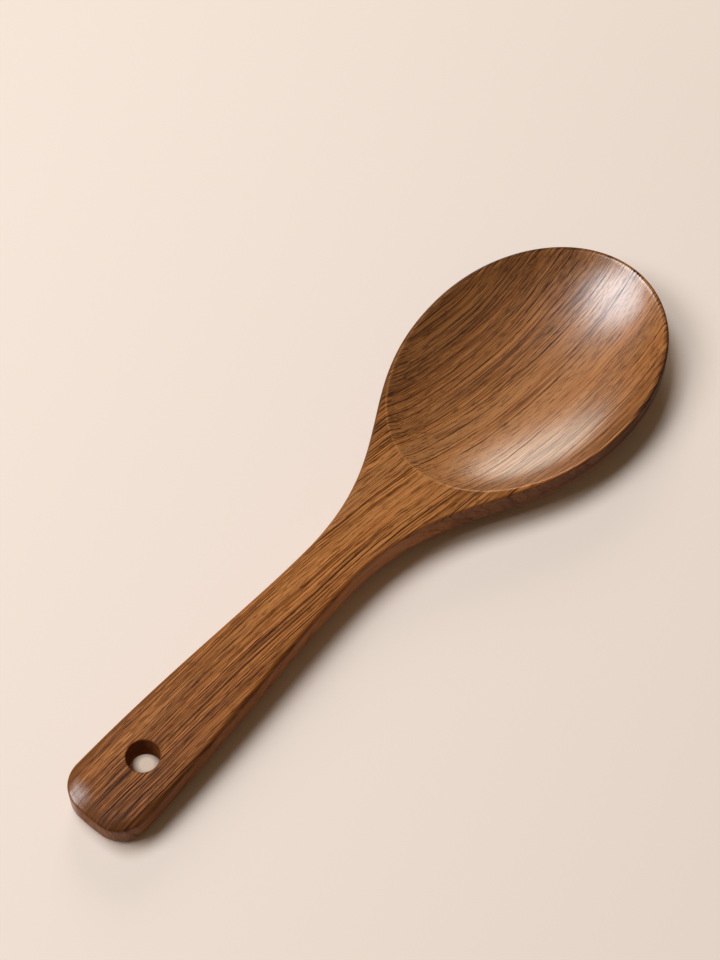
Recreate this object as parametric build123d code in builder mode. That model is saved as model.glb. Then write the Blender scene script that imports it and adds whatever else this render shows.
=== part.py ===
"""A wooden rice paddle, carved from one board of hardwood.

X runs from the end of the handle to the tip of the blade, Y across, and Z up.
The paddle rests on the plane Z = 0, on the bottom of its bowl and the end of its handle,
and the origin lies on that plane under the middle of its length. All sizes are millimetres.
"""

import os
from math import asin, degrees, sqrt

from build123d import *

os.makedirs("parts", exist_ok=True)

# Plan of the paddle, seen from above
handle_length = 90.0  # from the end of the handle to the narrowest place of the neck
shoulder_length = 85.5  # from there to the widest place of the blade
nose_length = 44.5  # from there to the tip
handle_width = 23.2
neck_width = 15.2
blade_width = 67.0
end_bulge = 1.0  # the end of the handle is cut to a slight curve
end_corner_radius = 8.0

# How far each edge curve runs straight before it turns, as shares of the stretch it belongs to
grip_ease_share = 0.44
waist_ease_share = 0.25
neck_ease_share = 0.47
shoulder_ease_share = 0.455
nose_ease_share = 0.57
tip_ease_share = 0.54

# Side view: the flat face, the planed handle and the underside
rim_height = 12.0  # the flat face of the blade lies this high over the table
handle_end_thickness = 8.5
neck_thickness = 8.3
neck_lead = 15.0  # the handle is highest this far past its narrowest place
tip_thickness = 4.2
underside_radius = 90.0  # roundness of the underside across the blade
heel_ease_share = 0.4
keel_ease_share = 0.45

# The scoop
scoop_length = 91.4
rim_land = 1.1  # flat wood left between the scoop and the edge
floor_thickness = 3.5
scoop_lift = 9.0  # the middle of the scooping cutter passes this far over the face

# The hang hole and the broken edges
hole_setback = 20.0  # from the end of the handle
hole_diameter = 8.6
hole_edge_break = 0.35
top_edge_break = 0.6  # a narrow bevel all round the face
lower_edge_radius = 1.8
overrun = 5.0  # the curves that cut the side view run this far past the wood

# Stations along X, worked out from the lengths
overall_length = handle_length + shoulder_length + nose_length
end_station = -overall_length / 2
neck_station = end_station + handle_length
wide_station = neck_station + shoulder_length
tip_station = wide_station + nose_length
arch_station = neck_station + neck_lead
scoop_station = tip_station - rim_land - scoop_length / 2
hole_station = end_station + hole_setback


def long_arc_radius(reach, fall):
    """Gives the radius of an arc that starts level and falls by so much over its reach."""
    return (reach**2 + fall**2) / (2 * fall)


# The handle's face and underside are long arcs that fall from the neck to the handle's end,
# and the underside of the nose is one that rises from the bottom of the bowl to the tip
arch_length = arch_station - end_station
back_radius = long_arc_radius(arch_length, rim_height - handle_end_thickness)
belly_radius = long_arc_radius(arch_length, rim_height - neck_thickness)
keel_length = tip_station - scoop_station
keel_radius = long_arc_radius(keel_length, rim_height - tip_thickness)

# The cutter that leaves the scoop is an egg-shaped form. Where the flat face crosses it,
# it is as long and as wide as the scoop, and its lowest point leaves the floor.
scoop_width = blade_width - 2 * rim_land
cutter_height = rim_height - floor_thickness + scoop_lift
face_share = sqrt(1 - (scoop_lift / cutter_height) ** 2)
cutter_length = scoop_length / 2 / face_share
cutter_width = scoop_width / 2 / face_share

# A face counts as upright when its middle points up or down by less than this share
level_share = 0.1


def is_upright(face):
    """Tells whether a face stands upright, as the sawn walls do."""
    return abs(face.normal_at().Z) < level_share


with BuildPart() as cutter:
    Sphere(radius=1, rotation=(0, 90, 0))
    scale(by=(cutter_length, cutter_width, cutter_height))

with BuildPart() as paddle:
    # The board is sawn to its plan: a rounded end, a waist, shoulders and an oval nose
    with BuildSketch(Plane.XY) as plan:
        with BuildLine():
            grip = Bezier(
                (end_station + end_bulge, handle_width / 2),
                (end_station + grip_ease_share * handle_length, handle_width / 2),
                (neck_station - waist_ease_share * handle_length, neck_width / 2),
                (neck_station, neck_width / 2),
            )
            shoulder = Bezier(
                grip @ 1,
                (neck_station + neck_ease_share * shoulder_length, neck_width / 2),
                (wide_station - shoulder_ease_share * shoulder_length, blade_width / 2),
                (wide_station, blade_width / 2),
            )
            Bezier(
                shoulder @ 1,
                (wide_station + nose_ease_share * nose_length, blade_width / 2),
                (tip_station, tip_ease_share * blade_width / 2),
                (tip_station, 0),
            )
            mirror(about=Plane.XZ)
            ThreePointArc(
                (end_station + end_bulge, handle_width / 2),
                (end_station, 0),
                (end_station + end_bulge, -handle_width / 2),
            )
        make_face()
        fillet(plan.vertices().group_by(Axis.X)[0], radius=end_corner_radius)
    extrude(amount=rim_height)

    # The handle is planed down from the neck to its end, in one long arc
    with BuildSketch(Plane.XZ):
        with BuildLine():
            back = JernArc(
                (arch_station, rim_height),
                tangent=(-1, 0),
                radius=back_radius,
                arc_size=degrees(asin((arch_length + overrun) / back_radius)),
            )
            Polyline(
                back @ 1,
                (end_station - overrun, rim_height + overrun),
                (arch_station, rim_height + overrun),
                back @ 0,
            )
        make_face()
    extrude(amount=blade_width, both=True, mode=Mode.SUBTRACT)

    # The underside is round across, as if turned on a long axis high over the blade: it rises
    # under the neck, comes down to the bottom of the bowl, and rises again to the tip
    with BuildSketch(Plane.XY.offset(underside_radius)):
        with BuildLine():
            neck_rise = rim_height - neck_thickness - underside_radius
            heel_length = scoop_station - arch_station
            belly = JernArc(
                (arch_station, neck_rise),
                tangent=(-1, 0),
                radius=belly_radius,
                arc_size=degrees(asin((arch_length + overrun) / belly_radius)),
            )
            heel = Bezier(
                (arch_station, neck_rise),
                (arch_station + heel_ease_share * heel_length, neck_rise),
                (scoop_station - keel_ease_share * heel_length, -underside_radius),
                (scoop_station, -underside_radius),
            )
            keel = JernArc(
                heel @ 1,
                tangent=(1, 0),
                radius=keel_radius,
                arc_size=degrees(asin((keel_length + overrun) / keel_radius)),
            )
            Polyline(
                keel @ 1,
                (tip_station + overrun, 0),
                (end_station - overrun, 0),
                belly @ 1,
            )
        make_face()
    turning_axis = Axis((0, 0, underside_radius), (1, 0, 0))
    revolve(axis=turning_axis, revolution_arc=180, mode=Mode.INTERSECT)

    # The edges are broken all round: rounded under the paddle, where it lies in the hand, and
    # with a narrow bevel on its face, which keeps the rim crisp. An outline edge is one that
    # an upright wall shares with the face or with the underside.
    walls = paddle.faces().filter_by(is_upright)
    underside = paddle.faces().filter_by(lambda face: face.normal_at().Z < -level_share)
    fillet(walls.edges() & underside.edges(), radius=lower_edge_radius)
    walls = paddle.faces().filter_by(is_upright)
    top_face = paddle.faces().filter_by(lambda face: face.normal_at().Z > 1 - level_share)
    chamfer(walls.edges() & top_face.edges(), length=top_edge_break)

    # The scoop leaves a thin flat rim, and meets it in a crisp oval line
    with Locations((scoop_station, 0, rim_height + scoop_lift)):
        add(cutter.part, mode=Mode.SUBTRACT)

    # The hang hole goes straight through the end of the handle, its edges broken
    with Locations((hole_station, 0, rim_height)):
        Hole(radius=hole_diameter / 2)
    bore = paddle.faces().filter_by(GeomType.CYLINDER).sort_by(lambda face: face.radius)[0]
    chamfer(bore.edges().filter_by(GeomType.LINE, reverse=True), length=hole_edge_break)

paddle.part.label = "paddle"
export_step(paddle.part, "parts/paddle.step")

print("overall length", overall_length, "blade", blade_width, "height", rim_height)
print("volume in cubic millimetres", round(paddle.part.volume))
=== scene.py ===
# %% [markdown]
# # A wooden rice paddle
# The real paddle is one board of dark hardwood, sawn to an outline, planed thin along the
# handle, scooped out for the bowl and rubbed with oil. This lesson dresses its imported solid: it
# works out one smooth closed skin with numpy, then builds the wood with shader nodes. The
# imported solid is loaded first, because everything else is fitted to it.

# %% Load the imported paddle
from math import radians

import bpy
import numpy as np
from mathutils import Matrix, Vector


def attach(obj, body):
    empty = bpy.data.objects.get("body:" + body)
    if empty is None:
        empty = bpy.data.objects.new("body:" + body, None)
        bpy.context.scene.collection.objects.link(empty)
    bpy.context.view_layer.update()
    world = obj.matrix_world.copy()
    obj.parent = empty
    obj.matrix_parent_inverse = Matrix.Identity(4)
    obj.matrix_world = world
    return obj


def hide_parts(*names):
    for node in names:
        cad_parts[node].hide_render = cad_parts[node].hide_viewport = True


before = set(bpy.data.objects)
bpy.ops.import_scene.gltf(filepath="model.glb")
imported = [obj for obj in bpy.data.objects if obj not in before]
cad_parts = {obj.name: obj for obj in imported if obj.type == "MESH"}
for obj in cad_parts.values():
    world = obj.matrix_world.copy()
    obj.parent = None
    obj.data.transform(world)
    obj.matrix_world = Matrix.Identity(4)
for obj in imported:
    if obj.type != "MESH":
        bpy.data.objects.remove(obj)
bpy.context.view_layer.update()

MM = 0.001
print("packed nodes:", len(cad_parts))

# %% [markdown]
# ## The camera
# The paddle lies on a table and is seen from above its handle's end, a little from its right.
# A camera can be placed by eye, or from measured angles. Here it is placed by how far it is
# from a point on the table, and by the two angles of its line of sight, so that the shot can be
# turned or brought nearer by changing one number.

# %% Place the camera
aim = Vector((0.01122, 0.01571, 0.0))  # metres, as the distance is
camera_distance = 0.6098
sight_turn = radians(40.373)  # from +X towards +Y
sight_dip = radians(57.247)  # below level
film_height, lens_length = 24.0, 56.11  # millimetres

level_sight = Vector((np.cos(sight_turn), np.sin(sight_turn), 0.0))
sight = level_sight * np.cos(sight_dip) - Vector((0.0, 0.0, 1.0)) * np.sin(sight_dip)
camera_data = bpy.data.cameras.new("table_camera")
camera_data.sensor_fit = "VERTICAL"
camera_data.sensor_height = film_height
camera_data.lens = lens_length
camera = bpy.data.objects.new("table_camera", camera_data)
camera.location = aim - sight * camera_distance
camera.rotation_euler = sight.to_track_quat("-Z", "Y").to_euler()
bpy.context.scene.collection.objects.link(camera)
bpy.context.scene.camera = camera
print("camera stands at", [round(v, 4) for v in camera.location])

# %% [markdown]
# ## The sizes of the plan
# Seen from above, the board is sawn to a handle, a waist, two shoulders and an oval nose. The
# sizes are those of the solid, in millimetres, because the skin has to fill exactly the same
# space. They are kept together here, so that every later formula reads them from one place.

# %% Sizes of the plan
handle_length, shoulder_length, nose_length = 90.0, 85.5, 44.5
handle_width, neck_width, blade_width = 23.2, 15.2, 67.0
# How far each curve runs straight before it turns, as shares of its stretch
grip_ease, waist_ease = 0.44, 0.25
neck_ease, shoulder_ease = 0.47, 0.455
nose_ease, tip_ease = 0.57, 0.54
end_bulge = 1.0
end_corner_radius = 8.0

end_x = -(handle_length + shoulder_length + nose_length) / 2
neck_x = end_x + handle_length
wide_x = neck_x + shoulder_length
tip_x = wide_x + nose_length
print("end, neck, widest place and tip:", end_x, neck_x, wide_x, tip_x)

# %% [markdown]
# ## One side of the outline
# Each side is three sweeping curves: the grip, the shoulder and the nose. A drawn curve object
# could be extruded, but then its edges could only be rounded by a bevel. A formula gives the
# outline and its direction at every point, and the rounding can follow from that. One side is
# enough, because the paddle is the same on both.


# %% Draw one side of the outline
def sweep(start, leave, arrive, stop, samples=600):
    """A cubic curve. With t from 0 to 1 it is the four points weighted by (1-t)^3,
    3t(1-t)^2, 3t^2(1-t) and t^3."""
    t = np.linspace(0.0, 1.0, samples)[:, None]
    start, leave, arrive, stop = (np.array(p, float) for p in (start, leave, arrive, stop))
    near = (1 - t) ** 3 * start + 3 * t * (1 - t) ** 2 * leave
    return near + 3 * t**2 * (1 - t) * arrive + t**3 * stop


nose = sweep(
    (tip_x, 0),
    (tip_x, tip_ease * blade_width / 2),
    (wide_x + nose_ease * nose_length, blade_width / 2),
    (wide_x, blade_width / 2),
)
shoulder = sweep(
    (wide_x, blade_width / 2),
    (wide_x - shoulder_ease * shoulder_length, blade_width / 2),
    (neck_x + neck_ease * shoulder_length, neck_width / 2),
    (neck_x, neck_width / 2),
)
grip = sweep(
    (neck_x, neck_width / 2),
    (neck_x - waist_ease * handle_length, neck_width / 2),
    (end_x + grip_ease * handle_length, handle_width / 2),
    (end_x + end_bulge, handle_width / 2),
)
print("widest half of the blade:", round(nose[:, 1].max(), 2))

# %% [markdown]
# ## The rounded end of the handle
# The end is a shallow arc with a corner of 8 mm on each side. The middle of the corner's circle
# has to be 8 mm inside both the grip and the arc. So the grip is shifted inwards by 8 mm, and
# the place where it meets the shifted arc is read off with an interpolation.


# %% Round the corner
def outward(path):
    """Unit normals of a path that runs from the tip to the end with the wood on its left:
    each is the path's direction, a quarter turn to the right."""
    step = np.gradient(path, axis=0)
    normal = np.stack([step[:, 1], -step[:, 0]], axis=1)
    return normal / np.linalg.norm(normal, axis=1, keepdims=True)


def arc(centre, radius, start, stop, samples=300):
    """Points at centre + radius * (cos a, sin a), with the angle a from start to stop."""
    a = np.linspace(start, stop, samples)
    return np.array(centre) + radius * np.stack([np.cos(a), np.sin(a)], axis=1)


end_radius = (end_bulge**2 + (handle_width / 2) ** 2) / (2 * end_bulge)
end_centre = np.array([end_x + end_radius, 0.0])
grip_normal = outward(grip)
inset = grip - end_corner_radius * grip_normal
from_end_centre = np.linalg.norm(inset - end_centre, axis=1)
row = np.arange(len(grip))
meeting = np.interp(end_radius - end_corner_radius, from_end_centre, row)
corner_centre = [np.interp(meeting, row, inset[:, axis]) for axis in (0, 1)]
touch = [np.interp(meeting, row, grip_normal[:, axis]) for axis in (0, 1)]
lean = np.array(corner_centre) - end_centre
corner_start = np.arctan2(touch[1], touch[0])
corner_stop = np.arctan2(lean[1], lean[0])
corner = arc(corner_centre, end_corner_radius, corner_start, corner_stop)
end_arc = arc(end_centre, end_radius, corner_stop, np.pi)
print("the corner is rounded about", [round(float(v), 2) for v in corner_centre])

# %% [markdown]
# ## Even steps round the edge
# The curves were sampled as their formulas gave them, closer together in one place than in
# another. A mesh looks smoothest when its columns stand evenly. So the length walked along the
# outline is added up, and a point is read off after each equal step.

# %% Lay the columns out
HALF = 350  # columns from the tip to the end, on one side

side = np.concatenate([nose, shoulder[1:], grip[1:int(meeting)], corner, end_arc[1:]])
run = np.concatenate([[0.0], np.cumsum(np.linalg.norm(np.diff(side, axis=0), axis=1))])
along = np.linspace(0.0, run[-1], HALF + 1)
edge = np.stack([np.interp(along, run, side[:, axis]) for axis in (0, 1)], axis=1)
edge_normal = outward(edge)
edge_normal[0], edge_normal[-1] = (1.0, 0.0), (-1.0, 0.0)
print("one side is", round(run[-1], 1), "mm long, a column every", round(along[1], 2), "mm")

# %% [markdown]
# ## The face and the scoop
# The flat face bends down along the handle in one long arc, and the bowl is part of an
# egg-shaped hollow. Both are written as heights over the plan, so that every point of the skin
# gets its height from the same formulas. They meet in a line that sanding has softened, and a
# smooth minimum of the two heights gives just that.

# %% A formula for the upper side
rim_height = 12.0
handle_end_thickness, neck_thickness, tip_thickness = 8.5, 8.3, 4.2
neck_lead = 15.0  # the handle is highest this far past its narrowest place
rim_land, floor_thickness, scoop_length = 1.1, 3.5, 91.4
scoop_lift = 9.0  # the middle of the hollow lies this far over the face
crease_softness = 0.11

arch_x = neck_x + neck_lead
scoop_half_length = scoop_length / 2
scoop_half_width = blade_width / 2 - rim_land
scoop_x = tip_x - rim_land - scoop_half_length


def fall(distance, reach, drop):
    """How far an arc has fallen at a distance, when it starts level and falls by drop over
    reach: its radius R is (reach^2 + drop^2) / (2 drop), and the fall is R - sqrt(R^2 - d^2)."""
    radius = (reach**2 + drop**2) / (2 * drop)
    return radius - np.sqrt(radius**2 - np.clip(distance, 0.0, None) ** 2)


def face_height(x, y):
    """The lower of two heights, softly: flat is the face, hollow the egg-shaped scoop. With
    their difference d = hollow - flat the result is flat + (d - sqrt(d^2 + 4 s^2)) / 2, where s
    is the softness."""
    flat = rim_height - fall(arch_x - x, arch_x - end_x, rim_height - handle_end_thickness)
    depth = rim_height - floor_thickness + scoop_lift
    share = 1 - (scoop_lift / depth) ** 2
    spread = ((x - scoop_x) / scoop_half_length) ** 2 + (y / scoop_half_width) ** 2
    hollow = rim_height + scoop_lift - depth * np.sqrt(np.clip(1 - share * spread, 0.0, None))
    gap = hollow - flat
    return flat + (gap - np.sqrt(gap**2 + 4 * crease_softness**2)) / 2


bowl_floor = float(face_height(scoop_x, 0.0))
print("floor of the bowl is", round(bowl_floor, 2), "mm over the table")

# %% [markdown]
# ## The underside
# Underneath, the wood is round across, as if it had been turned on a long axis high over the
# blade, and it rises under the neck and towards the tip. A lathe-like shape could be spun, but
# a height over the plan is enough, and it fits the outline without any trimming.

# %% A formula for the underside
underside_radius = 90.0
heel_ease, keel_ease = 0.4, 0.45
heel = sweep(
    (arch_x, rim_height - neck_thickness),
    (arch_x + heel_ease * (scoop_x - arch_x), rim_height - neck_thickness),
    (scoop_x - keel_ease * (scoop_x - arch_x), 0),
    (scoop_x, 0),
)


def under_height(x, y):
    """The long profile under the paddle, z0, turned about a line 90 mm over the table: the
    height is 90 - sqrt((90 - z0)^2 - y^2)."""
    belly = rim_height - neck_thickness
    belly = belly - fall(arch_x - x, arch_x - end_x, belly)
    keel = fall(x - scoop_x, tip_x - scoop_x, rim_height - tip_thickness)
    profile = np.where(x < arch_x, belly, np.interp(x, heel[:, 0], heel[:, 1]))
    profile = np.where(x > scoop_x, keel, profile)
    return underside_radius - np.sqrt((underside_radius - profile) ** 2 - y**2)


neck_lift = float(under_height(neck_x, 0.0))
print("the neck is", round(neck_lift, 2), "mm over the table, the bowl touches it")

# %% [markdown]
# ## Where each column starts
# The skin is made of columns that run from the middle of the face out to the edge, round it,
# and back to the middle underneath. Beside the bowl a column starts on the crease, so that the
# crease is a line of the mesh. Along the handle it starts on the middle line, and at the end
# on the rim of the hang hole. Then no face is stretched across a feature.

# %% Columns round the bowl and the hole
hole_setback, hole_diameter, hole_edge_break = 20.0, 8.6, 0.35
leave_crease_x, reach_heel_x, reach_hole_x = 30.0, 5.0, -78.0

hole_x = end_x + hole_setback
hole_radius = hole_diameter / 2
hole_mouth = hole_radius + hole_edge_break


def column_at(x):
    """The column whose edge point lies nearest to that x."""
    return int(np.argmin(np.abs(edge[:, 0] - x)))


def oval(middle_x, half_length, half_width, turn):
    """Points at (middle_x + half_length cos(turn), half_width sin(turn))."""
    return np.stack([middle_x + half_length * np.cos(turn), half_width * np.sin(turn)], axis=-1)


leave_col = column_at(leave_crease_x)
heel_col, hole_col = column_at(reach_heel_x), column_at(reach_hole_x)
turn = np.arctan2(edge[:, 1] / scoop_half_width, (edge[:, 0] - scoop_x) / scoop_half_length)
turn[leave_col:heel_col + 1] = np.interp(
    along[leave_col:heel_col + 1], along[[leave_col, heel_col]], [turn[leave_col], np.pi]
)
hole_turn = np.interp(along, along[[hole_col, HALF]], [0.0, np.pi])
crease = oval(scoop_x, scoop_half_length, scoop_half_width, turn)
hole_ring = oval(hole_x, hole_mouth, hole_mouth, hole_turn)
print("columns beside the bowl:", heel_col, "along the handle:", hole_col - heel_col)

# %% [markdown]
# ## The feet of the columns
# The columns that start on the middle line stand on a spine, which is shared out between the
# bowl and the hole. Underneath the spine reaches far into the nose, where the columns would
# otherwise crowd together. Feet on the middle line get a width of exactly nothing, because
# there the two halves are joined.

# %% Feet of the columns
nose_foot_x, wide_foot_x, heel_foot_x = 86.0, 62.0, 12.0
hole_rim_x = hole_x + hole_mouth
heel_x = scoop_x - scoop_half_length

spine_x = np.interp(along, along[[heel_col, hole_col]], [heel_x, hole_rim_x])
under_keys = along[[0, column_at(wide_x), heel_col, hole_col]]
under_feet = [nose_foot_x, wide_foot_x, heel_foot_x, hole_rim_x]
under_spine = np.interp(along, under_keys, under_feet)

column = np.arange(HALF + 1)
beside_bowl, beside_hole = (column <= heel_col)[:, None], (column >= hole_col)[:, None]
face_foot = np.stack([spine_x, 0 * spine_x], axis=1)
face_foot = np.where(beside_bowl, crease, np.where(beside_hole, hole_ring, face_foot))
under_foot = np.where(beside_hole, hole_ring, np.stack([under_spine, 0 * under_spine], axis=1))
face_foot[[0, heel_col, hole_col, HALF], 1] = 0.0
under_foot[[0, hole_col, HALF], 1] = 0.0
print("spine underneath, from", under_spine[0], "to", round(float(under_foot[-1, 0]), 2))

# %% [markdown]
# ## The face and its upper edge
# Each column is a profile carried round the outline. It starts across the face and goes over
# a small round, which is crisp at the rim and softer along the handle, where it is held. The
# rows of the face crowd towards their foot, where the surface bends most.

# %% Carry the upper profile round the outline
FACE_ROWS, EDGE_ROWS, WALL_ROWS, UNDER_ROWS = 20, 10, 5, 30
row_crowding = 1.7
# Places along the paddle, and how far in and down the upper round reaches at each
upper_round = np.array([
    (end_x, 4.2, 0.8), (-103.0, 3.0, 0.8), (-92.0, 1.3, 0.9),
    (-60.0, 1.1, 1.0), (-15.0, 1.0, 0.9), (30.0, 0.8, 0.7),
])
upper_reach = np.interp(edge[:, 0], upper_round[:, 0], upper_round[:, 1])
upper_drop = np.interp(edge[:, 0], upper_round[:, 0], upper_round[:, 2])


def on_plan(inset_by):
    """Points that lie inside the edge by so many millimetres, along its normal."""
    return edge[None] - inset_by[..., None] * edge_normal[None]


def lift(plan, height):
    """Adds the heights to points of the plan."""
    return np.concatenate([plan, height[..., None]], axis=-1)


share = (np.linspace(0.0, 1.0, FACE_ROWS) ** row_crowding)[:, None, None]
plan = face_foot[None] * (1 - share) + on_plan(upper_reach[None]) * share
face_rows = lift(plan, face_height(plan[..., 0], plan[..., 1]))

bend = np.linspace(np.pi / 2, 0.0, EDGE_ROWS)[1:, None]
plan = on_plan(upper_reach * (1 - np.cos(bend)))
over = face_height(plan[..., 0], plan[..., 1])
upper_rows = lift(plan, over - upper_drop * (1 - np.sin(bend)))
print("upper round is", upper_reach.min(), "to", upper_reach.max(), "mm wide")

# %% [markdown]
# ## The wall, the lower edge and the underside
# The lower round is the path of a ball that touches both the wall and the sloping underside,
# which is how a sanded edge looks. A bevel modifier would do the same, but its width would
# change with the slope. The round ends a hair beside the formula's underside, so that small
# miss is shared out along it.

# %% Carry the lower profile round the outline
lower_radius = 1.8
probe = 0.2  # how far inside the edge the slope is felt
here = under_height(edge[:, 0], edge[:, 1])
inside = edge - probe * edge_normal
slope = (here - under_height(inside[:, 0], inside[:, 1])) / probe
tilt = np.arctan(slope)
ball = here - lower_radius * slope + lower_radius / np.cos(tilt)
part = np.linspace(0.0, 1.0, EDGE_ROWS + 2)[:, None]
bend = part * (np.pi / 2 - tilt)
plan = on_plan(lower_radius * (1 - np.cos(bend)))
miss = under_height(plan[-1, :, 0], plan[-1, :, 1]) - (ball - lower_radius * np.sin(bend[-1]))
lower_rows = lift(plan, ball - lower_radius * np.sin(bend) + part * miss)

share = np.linspace(0.0, 1.0, WALL_ROWS + 2)[1:-1, None, None]
wall_rows = upper_rows[-1:] * (1 - share) + lower_rows[:1] * share

share = np.linspace(0.0, 1.0, UNDER_ROWS)[1:, None, None]
plan = plan[-1:] * (1 - share) + under_foot[None] * share
under_rows = lift(plan, under_height(plan[..., 0], plan[..., 1]))

skin = np.concatenate([face_rows, upper_rows, wall_rows, lower_rows, under_rows])
print("skin of", skin.shape[0], "rows by", skin.shape[1], "columns on each side")

# %% [markdown]
# ## The bowl
# The bowl could be filled with rings that shrink to one point, but there the faces become
# slivers. Ellipses that share their two focal points shrink to a short line instead, and its
# two sides close on each other. The outermost ring has the very same points as the crease.

# %% Rings of the bowl
BOWL_ROWS = 46
ring_crowding = 1.5
focus = np.sqrt(scoop_half_length**2 - scoop_half_width**2)
outermost = np.arctanh(scoop_half_width / scoop_half_length)
ring = (outermost * (1 - np.linspace(0.0, 1.0, BOWL_ROWS) ** ring_crowding))[:, None]
# A ring's half length is focus cosh(ring), and its half width focus sinh(ring)
plan = oval(scoop_x, focus * np.cosh(ring), focus * np.sinh(ring), turn[:heel_col + 1])
plan[0] = face_foot[:heel_col + 1]
plan[:, [0, -1], 1] = 0.0
bowl = lift(plan, face_height(plan[..., 0], plan[..., 1]))
print("bowl rings:", bowl.shape[0], "lowest", round(float(bowl[..., 2].min()), 2), "mm")

# %% [markdown]
# ## The hang hole
# The hole goes straight through the handle, and both its mouths are slightly rounded. A
# boolean would cut it, but would leave a ragged fan of triangles around it. Here it is a tube
# of rings whose first and last one have the very same points as the face and the underside.

# %% The tube of the hole
BORE_ROWS = 10
MOUTH_ROWS = 5
top_of_hole = face_height(hole_ring[hole_col:, 0], hole_ring[hole_col:, 1])
foot_of_hole = under_height(hole_ring[hole_col:, 0], hole_ring[hole_col:, 1])
bend = np.linspace(0.0, np.pi / 2, MOUTH_ROWS)
level, none = np.zeros(BORE_ROWS - 2), np.zeros(MOUTH_ROWS)
# A mouth widens by 1 - sin(bend), in shares of its break, while it drops by 1 - cos(bend)
mouth = np.concatenate([1 - np.sin(bend), level, 1 - np.cos(bend)])[:, None]
drop = np.concatenate([1 - np.cos(bend), level + 1, none + 1])[:, None]
rise = np.concatenate([none + 1, level + 1, 1 - np.sin(bend)])[:, None]
depth = np.concatenate([none, np.linspace(0, 1, BORE_ROWS)[1:-1], none + 1])[:, None]
upper_mouth = top_of_hole - hole_edge_break * drop
lower_mouth = foot_of_hole + hole_edge_break * rise
height = upper_mouth * (1 - depth) + lower_mouth * depth
radius = hole_radius + hole_edge_break * mouth
plan = oval(hole_x, radius, radius, hole_turn[hole_col:])
plan[[0, -1]] = hole_ring[hole_col:]
plan[:, [0, -1], 1] = 0.0
bore = lift(plan, height)
print("rings of the hole:", bore.shape[0], "radius", radius.min(), "to", radius.max())

# %% [markdown]
# ## Both halves
# The paddle is the same on both sides of its middle line, so each grid is mirrored. A mirror
# modifier would do it too, but the finished skin should be one plain mesh whose faces can be
# counted. The four corners of every face follow from their row and column alone.


# %% Mirror the grids and number their corners
def both_sides(grid):
    """The columns of one side, then those of the other in reverse order, with y negated."""
    other = grid[:, -2::-1] * np.array([1.0, -1.0, 1.0])
    return np.concatenate([grid, other], axis=1)


def quads(grid, first, flip):
    """Four corners for each cell of a grid of rows and columns, numbered from first."""
    rows, columns = grid.shape[:2]
    n = first + np.arange(rows * columns).reshape(rows, columns)
    cells = np.stack([n[:-1, :-1], n[:-1, 1:], n[1:, 1:], n[1:, :-1]], axis=-1).reshape(-1, 4)
    return cells[:, ::-1] if flip else cells


grids = [(both_sides(bowl[:, ::-1]), True), (both_sides(skin), True), (both_sides(bore), False)]
print("points in each grid:", [grid[..., 0].size for grid, _ in grids])

# %% [markdown]
# ## Traces of the tools
# The bowl was scooped and takes the oil best. The face and the handle were planed and stay
# dull, and sanding hid the figure of the walls and the hole. A painted mask would need an
# image. But each row of the mesh belongs to one surface, so it can be given three traits from
# 0 to 1, planed, polished with oil and sanded, which the finish reads later.

# %% Traits of each row
dull = 0.02  # how much of the polish planed wood keeps
SOFT_ROWS = 2  # the first rows of the upper round are half sanded
scooped, flat = (0.0, 1.0, 0.0), (1.0, dull, 0.0)
soft_edge, edge_round = (1.0, 0.25, 0.5), (1.0, 0.25, 1.0)
wall, below, drilled = (1.0, 0.15, 1.0), (1.0, 0.2, 0.0), (1.0, dull, 1.0)


def rows_of(*parts):
    """The traits of each row of a grid: each part is a number of rows and their traits."""
    return np.repeat([traits for _, traits in parts], [count for count, _ in parts], axis=0)


row_traits = [
    rows_of((len(bowl), scooped)),
    rows_of((len(face_rows), flat), (SOFT_ROWS, soft_edge),
            (len(upper_rows) - SOFT_ROWS, edge_round), (len(wall_rows), wall),
            (len(lower_rows), edge_round), (len(under_rows), below)),
    rows_of((len(bore), drilled)),
]
print("rows with traits:", [len(rows) for rows in row_traits])

# %% [markdown]
# ## One closed mesh
# Where two grids meet they have the very same points, and these are merged by sorting rounded
# coordinates. A closed skin has exactly two faces at every edge, and its volume comes out
# positive only if all faces point outwards, so both are measured here rather than looked for
# in the picture.

# %% Merge and measure
KEY_STEPS = 1e4  # points closer than a ten-thousandth of a millimetre are one
points, cells, traits, first = [], [], [], 0
for (grid, flip), rows in zip(grids, row_traits):
    cells.append(quads(grid, first, flip))
    points.append(grid.reshape(-1, 3))
    traits.append(np.repeat(rows, grid.shape[1], axis=0))
    first += points[-1].shape[0]
points, cells, traits = (np.concatenate(parts) for parts in (points, cells, traits))

keys = np.round(points * KEY_STEPS).astype(np.int64)
_, kept, where = np.unique(keys, axis=0, return_index=True, return_inverse=True)
points, traits = points[kept], traits[kept]
cells = where.reshape(-1)[cells]
edges = np.sort(np.stack([cells, np.roll(cells, -1, axis=1)], axis=-1).reshape(-1, 2), axis=1)
_, faces_at_edge = np.unique(edges, axis=0, return_counts=True)
corners = points[cells]
crossed = np.cross(corners[:, 1] - corners[:, 0], corners[:, 2] - corners[:, 0])
crossed += np.cross(corners[:, 2] - corners[:, 0], corners[:, 3] - corners[:, 0])
# crossed is twice each face's area, and a volume is a third of area times distance
volume = float((corners.mean(axis=1) * crossed).sum() / 6)
print("points", len(points), "faces", len(cells), "open edges", int((faces_at_edge != 2).sum()))
print("volume in cubic millimetres", round(volume))
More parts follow.
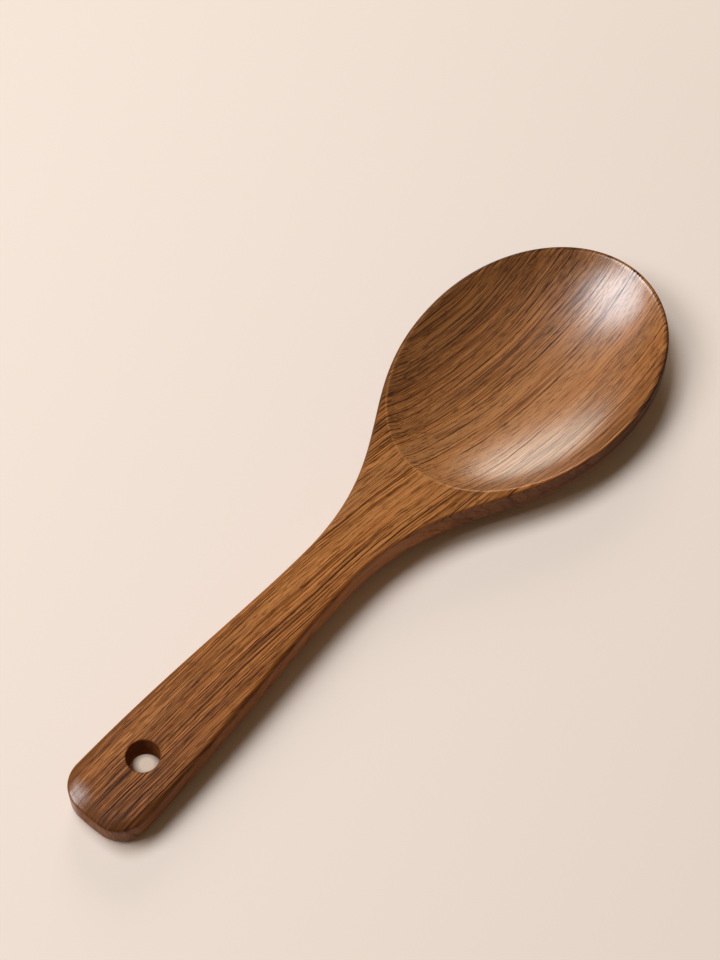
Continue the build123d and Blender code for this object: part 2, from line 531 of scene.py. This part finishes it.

# %% [markdown]
# ## Marks of use and painted light
# A spoon that is used shows it. The thumb has polished one corner of the handle and the
# fingers one of its walls, whose paler tone is a painted reflection. The blade's edge is darker
# towards the tip, and the line round the scoop is a painted highlight. Each mark is a value at
# the points of the mesh that fades with the distance from its place, so it stays where it is
# from every side.

# %% Work the marks of use out
thumb_x, thumb_y, thumb_reach, thumb_polish = -109.0, 6.5, 3.0, 0.8
tip_dark_from, tip_dark_to = 55.0, 85.0
# Width of the painted highlight along the crease round the scoop
highlight_line_reach = 0.28
face_depth = 0.5  # so far below the rim a point still counts as on the face
grip_from, grip_to, grip_sanding = -60.0, -15.0, 0.9
# The held wall starts held_below under the face, and is full from y = -held_y outwards and
# up to x = held_until
held_y, held_until, held_fade = 4.0, 0.0, 15.0
# The last number is how much paler the held wall is painted, as a painted reflection
held_below, held_polish, held_painted_reflection = 1.0, 0.3, 0.65
marked = 0.5  # from here up a point is counted in what is printed

planed, polish, sanded = traits.T
x, y, z = points.T
polish = np.where(x < neck_x, np.minimum(polish, dull), polish)
thumb = np.exp(-(np.hypot(x - thumb_x, y - thumb_y) / thumb_reach) ** 2)
polish = np.maximum(polish, thumb_polish * thumb)
sanded = sanded * np.interp(x, [grip_from, grip_to], [grip_sanding, 1.0])

# Distance from the crease: a point is so many times the scoop's size out, less one
times_out = np.hypot((x - scoop_x) / scoop_half_length, y / scoop_half_width)
from_crease = (times_out - 1) * (scoop_half_length + scoop_half_width) / 2
on_face = z > rim_height - face_depth
# The edge of the blade is darker towards its tip
to_tip = np.clip((x - tip_dark_from) / (tip_dark_to - tip_dark_from), 0.0, 1.0)
dark_tip_edge = to_tip * np.maximum(sanded, on_face * np.clip(from_crease / rim_land, 0.0, 1.0))
# Painted highlight: a pale line along the crease round the scoop, on the face
painted_light = np.exp(-(from_crease / highlight_line_reach) ** 2) * on_face * (1 - to_tip)

# The held wall is glossier, and is also painted paler as a painted reflection
held_wall_and_reflection = sanded * np.clip((face_height(x, y) - z) / held_below - 1, 0.0, 1.0)
held_wall_and_reflection = held_wall_and_reflection * np.clip((held_y - y) / (2 * held_y), 0.0, 1.0)
held_wall_and_reflection = held_wall_and_reflection * np.clip((held_until - x) / held_fade + 1, 0.0, 1.0)
polish = np.maximum(polish, held_polish * held_wall_and_reflection)
painted_light = np.maximum(painted_light, held_painted_reflection * held_wall_and_reflection)
print("polished by the thumb:", int((thumb_polish * thumb > marked).sum()), "points,",
      "by the fingers:", int((held_wall_and_reflection > marked).sum()))

# %% [markdown]
# ## The finished mesh
# The points, the faces and the values at each point go into one Blender mesh, which stands for
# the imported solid. Its object stays at the origin, because the points already lie where they
# belong and a pattern that is tied to them must not slide.

# %% Put the skin into a mesh
mesh = bpy.data.meshes.new("paddle_skin")
mesh.from_pydata((points * MM).tolist(), [], cells.tolist())
mesh.polygons.foreach_set("use_smooth", np.ones(len(cells), dtype=bool))
mesh.update()
marks = {"planed": planed, "polish": polish, "sanded": sanded, "dark_tip_edge": dark_tip_edge, "painted_light": painted_light}
for name, values in marks.items():
    layer = mesh.attributes.new(name, "FLOAT", "POINT")
    layer.data.foreach_set("value", values.astype(np.float32))
    print(name, "is above a half at", int((values > marked).sum()), "points")
paddle = bpy.data.objects.new("paddle_skin", mesh)
bpy.context.scene.collection.objects.link(paddle)
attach(paddle, "root")
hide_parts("paddle")

# %% [markdown]
# ## Helpers for node groups
# The figure of the wood is built from many small nodes. Adding and joining them one by one
# takes several lines each, so a few short helpers do it. Each effect becomes a node group with
# named inputs and outputs, which can be placed in any other material with its own values.

# %% Short helpers for building node groups
MIDDLE = 0.5  # of a noise, and of any other value that goes from 0 to 1
PLAIN, FINE = 1.0, 2.0  # how much detail a noise has


def new_group(name, inputs, outputs):
    """A shader node group with named sockets, its two ends, and the tree to build in."""
    tree = bpy.data.node_groups.new(name, "ShaderNodeTree")
    for title, kind, value in inputs:
        socket = tree.interface.new_socket(name=title, in_out="INPUT", socket_type=kind)
        if value is not None:
            socket.default_value = value
    for title, kind in outputs:
        tree.interface.new_socket(name=title, in_out="OUTPUT", socket_type=kind)
    return tree, tree.nodes.new("NodeGroupInput"), tree.nodes.new("NodeGroupOutput")


def feed(tree, socket, value):
    """Joins a socket to another one, or sets it to a plain value."""
    if isinstance(value, bpy.types.NodeSocket):
        tree.links.new(value, socket)
    else:
        socket.default_value = value


def sums(tree, kind, value, *others):
    """Math nodes in a row: the first value with the second, their result with the third, and
    so on. A kind that takes a single value has one node."""
    for other in others or (None,):
        node = tree.nodes.new("ShaderNodeMath")
        node.operation = kind
        feed(tree, node.inputs[0], value)
        if other is not None:
            feed(tree, node.inputs[1], other)
        value = node.outputs[0]
    return value


def vectors(tree, kind, vector, other=None):
    """The outputs of one Vector Math node."""
    node = tree.nodes.new("ShaderNodeVectorMath")
    node.operation = kind
    feed(tree, node.inputs[0], vector)
    if other is not None:
        feed(tree, node.inputs[1], other)
    return node.outputs


def apart(tree, vector):
    """The X, Y and Z of a vector."""
    node = tree.nodes.new("ShaderNodeSeparateXYZ")
    feed(tree, node.inputs[0], vector)
    return node.outputs


def together(tree, *parts):
    """A vector made of its X, Y and Z, or of the first of them."""
    node = tree.nodes.new("ShaderNodeCombineXYZ")
    for socket, part in zip(node.inputs, parts):
        feed(tree, socket, part)
    return node.outputs[0]


def spread_out(tree, value, low, high, to_low=0.0, to_high=1.0, smooth=False):
    """One Map Range node: low to high becomes to_low to to_high."""
    node = tree.nodes.new("ShaderNodeMapRange")
    if smooth:
        node.interpolation_type = "SMOOTHSTEP"
    feed(tree, node.inputs["Value"], value)
    for title, number in zip(("From Min", "From Max", "To Min", "To Max"),
                             (low, high, to_low, to_high)):
        feed(tree, node.inputs[title], number)
    return node.outputs["Result"]


def speckle(tree, place, stretch, detail=FINE, rough=0.5):
    """Noise at a place, after each of its axes is multiplied by the stretch."""
    noise = tree.nodes.new("ShaderNodeTexNoise")
    feed(tree, noise.inputs["Vector"], vectors(tree, "MULTIPLY", place, stretch)["Vector"])
    for title, number in (("Scale", 1.0), ("Detail", detail), ("Roughness", rough)):
        feed(tree, noise.inputs[title], number)
    return noise.outputs["Fac"]


def shifted(tree, layer, place, stretch, reach):
    """A layer number, moved up or down by half the reach at most, by noise at the place."""
    noise = sums(tree, "SUBTRACT", speckle(tree, place, stretch), MIDDLE)
    return sums(tree, "ADD", layer, sums(tree, "MULTIPLY", noise, reach))


print("helpers ready: groups, sums, vectors, ranges, noise")

# %% [markdown]
# ## Grain that runs through the board
# Wood is a stack of growth layers crossed by long fibres, and a carved surface shows where it
# cuts them. An image would look painted on. Instead every point of space is given a place in
# the board: how far along it lies, and how deep in the stack. The layers lean and wander a
# little, so the scoop cuts them in bowed lines, just as in the real bowl.

# %% The place of each point in the board
slant = 0.05  # the layers run slightly across the board
sway_x, sway_length, sway_reach = 8.0, 24.0, 2.0  # most of all where the shoulders begin
broad_waves, small_waves, tremble = (0.016, 0.05, 0.05), (0.05, 0.22, 0.22), (0.16, 0.5, 0.3)
small_reach, tremble_reach = 0.75, 0.2
board, board_in, board_out = new_group(
    "place_in_board",
    [("Coordinates", "NodeSocketVector", None), ("Lean", "NodeSocketFloat", 0.27),
     ("Wander", "NodeSocketFloat", 3.0)],
    [("Place", "NodeSocketVector")],
)
in_mm = vectors(board, "MULTIPLY", board_in.outputs["Coordinates"], (1 / MM,) * 3)["Vector"]
x, y, z = apart(board, in_mm)
sway = sums(board, "DIVIDE", sums(board, "SUBTRACT", x, sway_x), sway_length)
sway = sums(board, "MULTIPLY", sums(board, "TANH", sway), sway_reach)
layer = sums(board, "ADD", y, sums(board, "MULTIPLY", x, slant), sway)
layer = sums(board, "SUBTRACT", layer, sums(board, "MULTIPLY", z, board_in.outputs["Lean"]))
layer = shifted(board, layer, in_mm, broad_waves, board_in.outputs["Wander"])
layer = shifted(board, layer, in_mm, small_waves, small_reach)
layer = shifted(board, layer, in_mm, tremble, tremble_reach)
feed(board, board_out.inputs["Place"], together(board, x, layer, z))
print("group", board.name, "has", len(board.nodes), "nodes")

# %% [markdown]
# ## Growth lines
# Thin dark lines run along the wood where a season's growth ended. A wave texture would space
# them evenly and make them all alike. Here the depth in the stack is divided by the spacing
# and taken apart into a whole part and a rest: the rest draws one line in each layer, and the
# whole part picks at random how dark that line is and where along its length it fades.

# %% Draw the growth lines
uneven_waves, uneven_reach = (0.005, 0.14, 0.03), 3.0
faint_power = 1.3  # more than 1 makes faint lines more common than dark ones
fade_step, fade_waves = 7.3, (0.022, 1.0, 1.0)
fade_low, fade_high, faintest = 0.34, 0.56, 0.25
layers, layers_in, layers_out = new_group(
    "growth_layers",
    [("Place", "NodeSocketVector", None), ("Spacing", "NodeSocketFloat", 1.15),
     ("Line Width", "NodeSocketFloat", 0.17)],
    [("Band", "NodeSocketFloat"), ("Line", "NodeSocketFloat"), ("Hue", "NodeSocketFloat")],
)
place = layers_in.outputs["Place"]
lengthwise, depth_in_stack, _ = apart(layers, place)
uneven = speckle(layers, place, uneven_waves, PLAIN)
number = sums(layers, "DIVIDE", depth_in_stack, layers_in.outputs["Spacing"])
number = sums(layers, "ADD", number, sums(layers, "MULTIPLY", uneven, uneven_reach))
whole = sums(layers, "FLOOR", number)
chance = layers.nodes.new("ShaderNodeTexWhiteNoise")
chance.noise_dimensions = "1D"
feed(layers, chance.inputs["W"], whole)
strength = sums(layers, "POWER", chance.outputs["Value"], faint_power)
own_place = together(layers, lengthwise, sums(layers, "MULTIPLY", whole, fade_step))
fading = speckle(layers, own_place, fade_waves, PLAIN)
fading = spread_out(layers, fading, fade_low, fade_high, faintest, 1.0, smooth=True)
rest = sums(layers, "FRACT", number)
off = sums(layers, "ABSOLUTE", sums(layers, "SUBTRACT", rest, MIDDLE))
line = spread_out(layers, off, 0.0, layers_in.outputs["Line Width"], 1.0, 0.0)
feed(layers, layers_out.inputs["Line"], sums(layers, "MULTIPLY", line, strength, fading))
print("lines about", round(layers_in.outputs["Spacing"].default_value, 2), "mm apart")

# %% [markdown]
# ## Bands between the lines
# Over many layers the wood is darker and paler in soft bands, and some of them are greyer.
# They follow the layers but not one by one, so they are stretched noise at the same place in
# the board, one for the tone and one for the hue, and join the group of the lines.

# %% Add the bands
band_waves, hue_waves = (0.0045, 0.17, 0.03), (0.010, 0.20, 0.03)
band_rough, band_low, band_high = 0.68, 0.3, 0.7
hue_low, hue_high = 0.32, 0.68
band = speckle(layers, place, band_waves, FINE, band_rough)
feed(layers, layers_out.inputs["Band"], spread_out(layers, band, band_low, band_high))
hue = speckle(layers, place, hue_waves, PLAIN)
feed(layers, layers_out.inputs["Hue"], spread_out(layers, hue, hue_low, hue_high))
print("group", layers.name, "has", len(layers.nodes), "nodes")

# %% [markdown]
# ## Fibres and pores
# Close up the wood is streaked with fibres a third of a millimetre wide, and its open pores
# show as short dark scratches along the grain. On the sawn end they are dots. Both are noise
# that is stretched along the board, in all three dimensions, so that each cut shows them
# right. Pores come in patches, and a planed face cuts more of them open.

# %% Fine streaks and pores
streak_waves, pore_waves, patch_waves = (0.024, 2.9, 0.4), (0.26, 3.2, 1.2), (0.02, 0.35, 0.2)
streak_rough, streak_low, streak_high = 0.8, 0.32, 0.68
pore_limit, patch_reach, openness_reach, pore_slope = 0.68, 0.22, 0.04, 0.08
fibres, fibres_in, fibres_out = new_group(
    "fibres_and_pores",
    [("Place", "NodeSocketVector", None), ("Openness", "NodeSocketFloat", 0.5)],
    [("Fibre", "NodeSocketFloat"), ("Pore", "NodeSocketFloat")],
)
place = fibres_in.outputs["Place"]
streak = speckle(fibres, place, streak_waves, FINE, streak_rough)
feed(fibres, fibres_out.inputs["Fibre"], spread_out(fibres, streak, streak_low, streak_high))
pore = speckle(fibres, place, pore_waves, PLAIN)
patch = sums(fibres, "MULTIPLY", speckle(fibres, place, patch_waves, PLAIN), patch_reach)
opened = sums(fibres, "MULTIPLY", fibres_in.outputs["Openness"], openness_reach)
limit = sums(fibres, "SUBTRACT", pore_limit, patch, opened)
over = sums(fibres, "DIVIDE", sums(fibres, "SUBTRACT", pore, limit), pore_slope)
feed(fibres, fibres_out.inputs["Pore"], spread_out(fibres, over, 0.0, 1.0))
print("group", fibres.name, "has", len(fibres.nodes), "nodes")

# %% [markdown]
# ## The oiled wood
# One material dresses the whole paddle, because it is one piece of wood under one oil. Two
# materials with a seam between them would break the grain at the crease. The three groups are
# placed in it and joined to the coordinates of the object, and the traits of the mesh say
# where the wood was scooped, planed, sanded or rubbed.

# %% Start the finish
wood = bpy.data.materials.new("oiled_wood")
wood.use_nodes = True
tree = wood.node_tree
shader = tree.nodes["Principled BSDF"]


def use_group(group, **values):
    """Places a group in the material, with its own values."""
    node = tree.nodes.new("ShaderNodeGroup")
    node.node_tree = group
    for title, value in values.items():
        feed(tree, node.inputs[title], value)
    return node.outputs


def attribute(name):
    """A value that the mesh carries at each of its points."""
    node = tree.nodes.new("ShaderNodeAttribute")
    node.attribute_name = name
    return node.outputs["Fac"]


def by_trait(name, without, with_it):
    """A number that goes from one value to another as a trait goes from 0 to 1."""
    return spread_out(tree, attribute(name), 0.0, 1.0, without, with_it)


coordinates = tree.nodes.new("ShaderNodeTexCoord").outputs["Object"]
place = use_group(board, Coordinates=coordinates)["Place"]
growth = use_group(layers, Place=place)
close_up = use_group(fibres, Place=place, Openness=attribute("planed"))
along_board, in_stack, _ = apart(tree, place)
print("groups in the finish:", sum(n.type == "GROUP" for n in tree.nodes))

# %% [markdown]
# ## The figure
# Bands, fibres and lines all change one thing, how dark the wood is, so they are added up to
# one tone. It swings least in the bowl, whose oil evens it out, and on sanded wood. It is
# strongest where the shoulders begin, and calmer towards both sides of the blade.

# %% Add up the figure
fibre_swing, band_swing, line_swing = (0.66, 0.92), (0.36, 0.48), 0.85
sanded_share = 0.25
waist_from, waist_to, handle_figure, waist_figure = -60.0, -15.0, 1.05, 1.45
heel_from, heel_to, less_in_blade = 10.0, 30.0, 0.15
calm_from, calm_to, calm_share = 8.0, 24.0, 0.7

streaks = sums(tree, "SUBTRACT", close_up["Fibre"], MIDDLE)
bands = sums(tree, "SUBTRACT", growth["Band"], MIDDLE)
tone = sums(tree, "ADD", sums(tree, "MULTIPLY", bands, by_trait("planed", *band_swing)),
            sums(tree, "MULTIPLY", streaks, by_trait("planed", *fibre_swing)))
tone = sums(tree, "SUBTRACT", tone, sums(tree, "MULTIPLY", growth["Line"], line_swing))
clear = by_trait("sanded", 1.0, sanded_share)
figure = spread_out(tree, along_board, waist_from, waist_to, handle_figure, waist_figure)
less = spread_out(tree, along_board, heel_from, heel_to, 0.0, less_in_blade)
figure = sums(tree, "SUBTRACT", figure, less)
from_middle = sums(tree, "ABSOLUTE", in_stack)
calm = spread_out(tree, from_middle, calm_from, calm_to, 1.0, calm_share)
tone = sums(tree, "MULTIPLY", tone, clear, figure, calm)
print("the figure takes", len(tree.nodes), "nodes so far")

# %% [markdown]
# ## Dark and pale places
# Some changes of tone span the whole paddle. The handle is darker towards its end, the blade
# has painted shade towards both its sides, the edge at its tip is darkest, and the line round
# the scoop and the held wall are painted paler, as a painted highlight and a painted
# reflection. All of them are added to the same tone, as steps up or down from the level of the
# wood.

# %% Add the level, the darker end, the painted side shade, the marks and the painted light
wood_level, sanded_level = 0.74, 0.53
end_dark_from, end_dark_to, end_dark, neck_dark = -110.0, -10.0, 0.16, -0.03
# Painted shade towards the blade's sides: where it starts and ends, and how dark it is
side_from, side_to, middle_side_shade, painted_side_shade = 4.0, 24.0, -0.06, 0.25
# The second number is how much paler the painted highlight and the painted reflection make the
# tone
tip_edge_dark, painted_light_strength = 0.26, 0.32

tone = sums(tree, "ADD", tone, by_trait("sanded", wood_level, sanded_level))
# The handle is darker towards its end
toward_end = spread_out(tree, along_board, end_dark_from, end_dark_to, end_dark, neck_dark)
# Painted shade: the tone darkens towards both sides of the blade
sides = spread_out(tree, from_middle, side_from, side_to, middle_side_shade, painted_side_shade)
# The edge of the blade's tip is darker
tip_edge_darkening = sums(tree, "MULTIPLY", attribute("dark_tip_edge"), tip_edge_dark)
tone = sums(tree, "SUBTRACT", tone, toward_end, sides, tip_edge_darkening)
# Painted highlight round the scoop and painted reflection on the held wall: a paler tone
tone = sums(tree, "ADD", tone, sums(tree, "MULTIPLY", attribute("painted_light"), painted_light_strength))
print("tone of plain wood", wood_level, "and of sanded wood", sanded_level)

# %% [markdown]
# ## Brown, red and grey
# Oil darkens the wood and deepens its red, so the dark end of the ramp is nearly black brown
# and the pale end orange. The wood is greyer on the side of the heart, +Y, and in some bands,
# which is a second colour multiplied in. Open pores hold old oil and are darker than the wood
# around them.

# %% Colour the tone
ramp_colours = (
    (0.0, (0.030, 0.011, 0.004, 1.0)), (0.25, (0.112, 0.035, 0.0075, 1.0)),
    (0.5, (0.258, 0.084, 0.017, 1.0)), (0.75, (0.395, 0.144, 0.034, 1.0)),
    (1.0, (0.520, 0.203, 0.055, 1.0)),
)
heart_from, heart_to, heart_reach = -8.0, 10.0, 0.25
grey_cast, pore_cast = (0.80, 0.86, 1.0, 1.0), (0.40, 0.34, 0.32, 1.0)
pore_depth = 0.75

browns = tree.nodes.new("ShaderNodeValToRGB")
stops = browns.color_ramp.elements
stops[0].position, stops[0].color = ramp_colours[0]
stops[1].position, stops[1].color = ramp_colours[-1]
for position, colour in ramp_colours[1:-1]:
    stops.new(position).color = colour
feed(tree, browns.inputs["Fac"], tone)


def multiply_in(colour, cast, amount):
    """One Mix node that multiplies a colour by a cast, by some amount."""
    node = tree.nodes.new("ShaderNodeMix")
    node.data_type = "RGBA"
    node.blend_type = "MULTIPLY"
    feed(tree, node.inputs["Factor"], amount)
    feed(tree, node.inputs["A"], colour)
    node.inputs["B"].default_value = cast
    return node.outputs["Result"]


heart = spread_out(tree, in_stack, heart_from, heart_to, -heart_reach, heart_reach)
greyness = spread_out(tree, sums(tree, "ADD", growth["Hue"], heart), 0.0, 1.0)
open_pores = sums(tree, "MULTIPLY", close_up["Pore"], clear)
colour = multiply_in(browns.outputs["Color"], grey_cast, greyness)
colour = multiply_in(colour, pore_cast, sums(tree, "MULTIPLY", open_pores, pore_depth))
feed(tree, shader.inputs["Base Color"], colour)
print("colours in the ramp:", len(stops))

# %% [markdown]
# ## The satin of the oil
# Under the oil the wood is dull, with almost no gloss of its own. The oil stands on the bowl
# and on the rubbed corner as a soft, bright coat that breaks up over lines and fibres. One
# rough and glossy value for both would have to choose between them, so the wood gets a high
# roughness and a low IOR, and the coat its own weight from the mesh.

# %% Set the sheen
wood_roughness, fibre_roughness, pore_roughness = 0.55, 0.08, 0.12
wood_ior, coat_ior, coat_roughness = 1.15, 1.9, 0.25
coat_on_line, coat_on_fibre, thin_limit = 0.5, 0.55, 0.6

on_fibre = sums(tree, "MULTIPLY", close_up["Fibre"], fibre_roughness)
in_pore = sums(tree, "MULTIPLY", open_pores, pore_roughness)
rough = sums(tree, "ADD", on_fibre, wood_roughness, in_pore)
feed(tree, shader.inputs["Roughness"], rough)
shader.inputs["IOR"].default_value = wood_ior
thin_on_line = spread_out(tree, growth["Line"], 0.0, thin_limit, 1.0, coat_on_line)
thin_on_fibre = spread_out(tree, close_up["Fibre"], 0.0, thin_limit, coat_on_fibre, 1.0)
oil = sums(tree, "MULTIPLY", attribute("polish"), thin_on_line, thin_on_fibre)
feed(tree, shader.inputs["Coat Weight"], oil)
shader.inputs["Coat Roughness"].default_value = coat_roughness
shader.inputs["Coat IOR"].default_value = coat_ior
print("coat roughness", coat_roughness, "on wood of roughness", wood_roughness)

# %% [markdown]
# ## The feel of the surface
# Fibres stand up by a hair and pores are slightly sunk. Real displacement would need millions
# of faces for details this small. A bump node only tilts the light that falls on them, and its
# distance is a real depth, so it doesn't grow or shrink with the picture.

# %% Raise the fibres and sink the pores
grain_depth = 0.015  # millimetres
fibre_height = 0.25
relief = sums(tree, "MULTIPLY", close_up["Fibre"], fibre_height)
relief = sums(tree, "SUBTRACT", relief, open_pores)
bump = tree.nodes.new("ShaderNodeBump")
bump.inputs["Strength"].default_value = 1.0
bump.inputs["Distance"].default_value = grain_depth * MM
feed(tree, bump.inputs["Height"], relief)
feed(tree, shader.inputs["Normal"], bump.outputs["Normal"])
mesh.materials.append(wood)
print("finish", wood.name, "has", len(tree.nodes), "nodes")

# %% [markdown]
# ## A plain pale table
# The paddle lies on a wide pale table top, which takes its shadow. Far from the paddle a real
# floor would turn darker towards the horizon. So the floor's far part, and the world behind
# it, show the camera one plain pale colour, by way of the Light Path node. The same node
# paints light on the small patch of table seen through the hang hole, which lies in the
# paddle's shadow and would otherwise be as dark as the bore. That painted light changes what
# is seen there, but adds no light to the paddle.

# %% Lay the table
table_reach = 4.0  # metres
table_colour, far_colour = (0.88, 0.77, 0.69, 1.0), (0.86, 0.75, 0.65, 1.0)
table_roughness = 0.8
fade_from, fade_to = 0.16, 0.45  # metres from the origin
# The patch of painted light, in millimetres: it is narrower than the hole and a little beside
# its middle, so that it can't be seen from the side, under the handle
patch_ahead, patch_aside, patch_from, patch_to = 1.8, 1.6, 1.6, 3.6
hole_painted_light_colour = (0.62, 0.49, 0.39, 1.0)

corners = [(-table_reach, -table_reach, 0), (table_reach, -table_reach, 0),
           (table_reach, table_reach, 0), (-table_reach, table_reach, 0)]
floor_mesh = bpy.data.meshes.new("table_top")
floor_mesh.from_pydata(corners, [], [(0, 1, 2, 3)])
floor = bpy.data.objects.new("table_top", floor_mesh)
bpy.context.scene.collection.objects.link(floor)


def pale_to_camera(tree, shader, colour, fading=1.0):
    """Mixes a shader with a plain glow that only the camera sees, by a share of fading."""
    glow = tree.nodes.new("ShaderNodeEmission")
    glow.inputs["Color"].default_value = colour
    seen = tree.nodes.new("ShaderNodeLightPath").outputs["Is Camera Ray"]
    mix = tree.nodes.new("ShaderNodeMixShader")
    feed(tree, mix.inputs[0], sums(tree, "MULTIPLY", seen, fading))
    feed(tree, mix.inputs[1], shader)
    feed(tree, mix.inputs[2], glow.outputs["Emission"])
    return mix.outputs["Shader"]


table = bpy.data.materials.new("pale_table")
table.use_nodes = True
table_tree = table.node_tree
table_shader = table_tree.nodes["Principled BSDF"]
table_shader.inputs["Base Color"].default_value = table_colour
table_shader.inputs["Roughness"].default_value = table_roughness
table_place = table_tree.nodes.new("ShaderNodeTexCoord").outputs["Object"]
from_origin = vectors(table_tree, "LENGTH", table_place)["Value"]
far_share = spread_out(table_tree, from_origin, fade_from, fade_to, smooth=True)
surface = pale_to_camera(table_tree, table_shader.outputs["BSDF"], far_colour, far_share)
patch_place = ((hole_x + patch_ahead) * MM, patch_aside * MM, 0.0)
from_patch = vectors(table_tree, "DISTANCE", table_place, patch_place)["Value"]
painted_light_in_hole = spread_out(table_tree, from_patch, patch_from * MM, patch_to * MM, 1.0, 0.0)
# Painted light on the shaded table seen through the hang hole
surface = pale_to_camera(table_tree, surface, hole_painted_light_colour, painted_light_in_hole)
feed(table_tree, table_tree.nodes["Material Output"].inputs["Surface"], surface)
floor_mesh.materials.append(table)
print("table top is", 2 * table_reach, "m wide")

# %% [markdown]
# ## Soft lamps
# The real light comes in from windows. A sun lamp would give hard shadows, and a bare sky no
# highlights. Three round area lamps stand for two windows and the wall opposite them. Each is
# placed by the direction in which the paddle sees it, because that decides where its highlight
# lies in the bowl, and is made wide enough for a soft shadow.

# %% Hang the lamps
lamp_distance = 1.6  # metres


def lamp(name, turn, rise, spread, radiance, colour):
    """A round soft lamp, seen from the paddle in the direction of two angles: turn from +X
    towards +Y and rise over the table. Its radius is distance * tan(spread), and its power is
    radiance * pi * area, so a wider lamp isn't brighter to look at."""
    turn, rise = radians(turn), radians(rise)
    toward = Vector((np.cos(rise) * np.cos(turn), np.cos(rise) * np.sin(turn), np.sin(rise)))
    radius = lamp_distance * np.tan(radians(spread))
    data = bpy.data.lights.new(name, "AREA")
    data.shape = "DISK"
    data.size = 2 * radius
    data.energy = radiance * np.pi * np.pi * radius**2
    data.color = colour
    obj = bpy.data.objects.new(name, data)
    obj.location = aim + toward * lamp_distance
    obj.rotation_euler = (-toward).to_track_quat("-Z", "Y").to_euler()
    bpy.context.scene.collection.objects.link(obj)
    print(name, "is", round(data.size, 2), "m wide and gives", round(data.energy, 1), "W")


lamp("high_window", 92, 67.5, 13.5, 8.3, (0.95, 1.0, 1.05))
lamp("side_window", 140, 48, 15, 6.9, (1.0, 1.0, 1.0))
lamp("pale_wall", 43, 25, 11.5, 4.6, (1.08, 1.0, 0.86))

# %% [markdown]
# ## The room around
# The rest of the room only fills the shadows, with the warm light that wood and walls throw
# back. The world could be an image of a room, but one weak warm colour does as much here. The
# picture is shown as it was worked out, with the Standard view, so that a colour of the
# material comes out about as it was written.

# %% Fill the shadows
room_colour, room_strength = (1.35, 0.95, 0.55, 1.0), 0.10
world = bpy.data.worlds.new("studio")
bpy.context.scene.world = world
world.use_nodes = True
around = world.node_tree.nodes["Background"]
around.inputs["Color"].default_value = room_colour
around.inputs["Strength"].default_value = room_strength
surface = pale_to_camera(world.node_tree, around.outputs["Background"], far_colour)
feed(world.node_tree, world.node_tree.nodes["World Output"].inputs["Surface"], surface)
bpy.context.scene.view_settings.view_transform = "Standard"
print("the room adds", room_strength, "of plain white's light")
